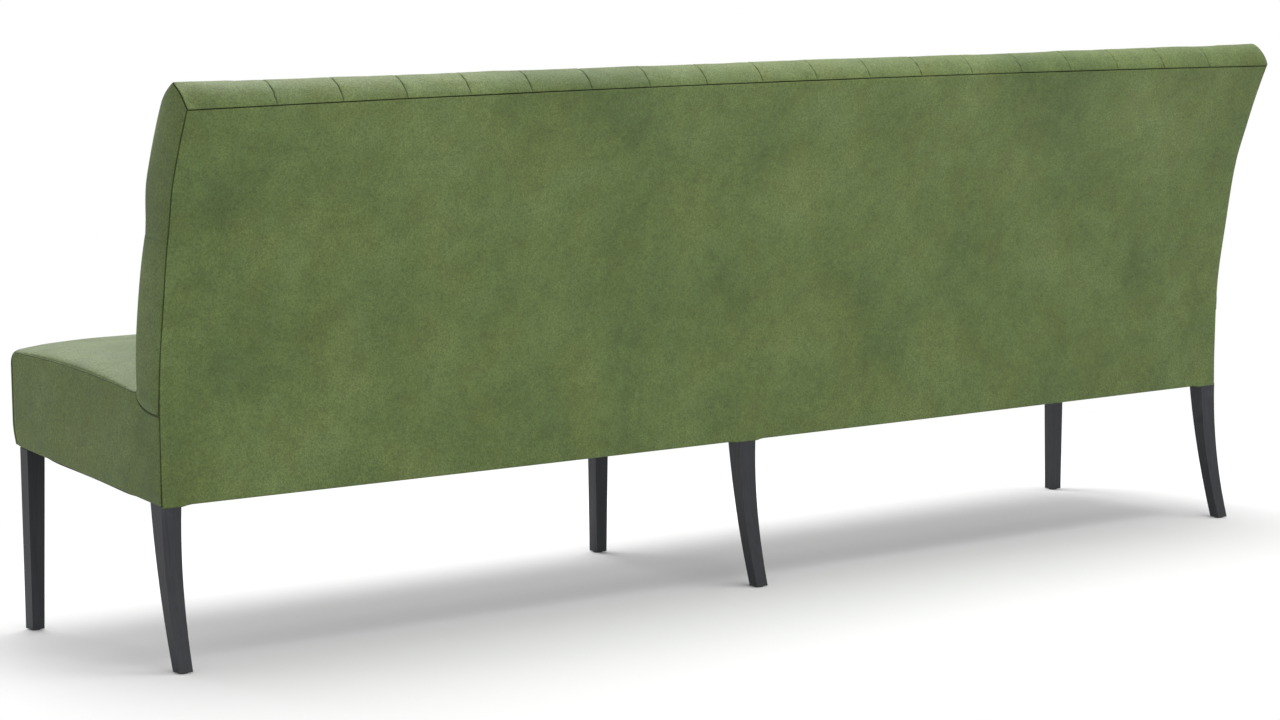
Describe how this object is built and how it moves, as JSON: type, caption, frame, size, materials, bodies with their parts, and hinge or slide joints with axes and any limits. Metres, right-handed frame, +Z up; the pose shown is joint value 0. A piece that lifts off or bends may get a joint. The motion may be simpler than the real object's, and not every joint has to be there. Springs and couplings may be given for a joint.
{
  "type": "upholstered banquette bench",
  "caption": "Long upholstered dining bench with a crowned seat, a flared back with upright sewn channels over a rolled top, and tapered black wooden legs, the rear ones swept back.",
  "frame": {"origin": "on the floor, under the middle of the bench's bounding box", "axes": "+X along the bench towards the sitter's left, -Y the front, +Z up"},
  "size_m": [2.4, 0.576, 0.918],
  "materials": {
    "green_leather": "satin, mottled",
    "black_wood": "satin black stain",
    "nylon": "matte",
    "steel": "zinc plated",
    "beech": "sawn",
    "plywood": "sawn",
    "felt": "matte",
    "foam": "matte",
    "board": "matte"
  },
  "bodies": {
    "root": {"front_leg_left": "black_wood", "front_leg_center": "black_wood", "front_leg_right": "black_wood", "rear_leg_left": "black_wood", "rear_leg_center": "black_wood", "rear_leg_right": "black_wood", "foot_glides": "nylon", "leg_bolts": "steel", "front_rail": "beech", "rear_rail": "beech", "end_rail_left": "beech", "end_rail_right": "beech", "cross_rail_left": "beech", "cross_rail_center": "beech", "cross_rail_right": "beech", "corner_blocks": "beech", "rail_screws": "steel", "post_screws": "steel", "seat_springs": "steel", "spring_clips": "nylon", "seat_felt": "felt", "seat_foam": "foam", "seat_front_padding": "foam", "seat_cover": "green_leather", "seat_end_panel_left": "green_leather", "seat_end_panel_right": "green_leather", "dust_cover": "felt", "dust_cover_staples": "steel", "back_post_left": "plywood", "back_post_right": "plywood", "back_rib_left": "plywood", "back_rib_center": "plywood", "back_rib_right": "plywood", "back_top_rail": "beech", "back_middle_rail": "beech", "back_lower_rail": "beech", "back_webbing": "felt", "back_foam_upper": "foam", "back_foam_lower": "foam", "inside_back_channels": "green_leather", "inside_back_lower": "green_leather", "back_end_panel_left": "green_leather", "back_end_panel_right": "green_leather", "back_liner_board": "board", "top_tack_strip": "board", "outside_back_cover": "green_leather"}
  },
  "joints": []
}
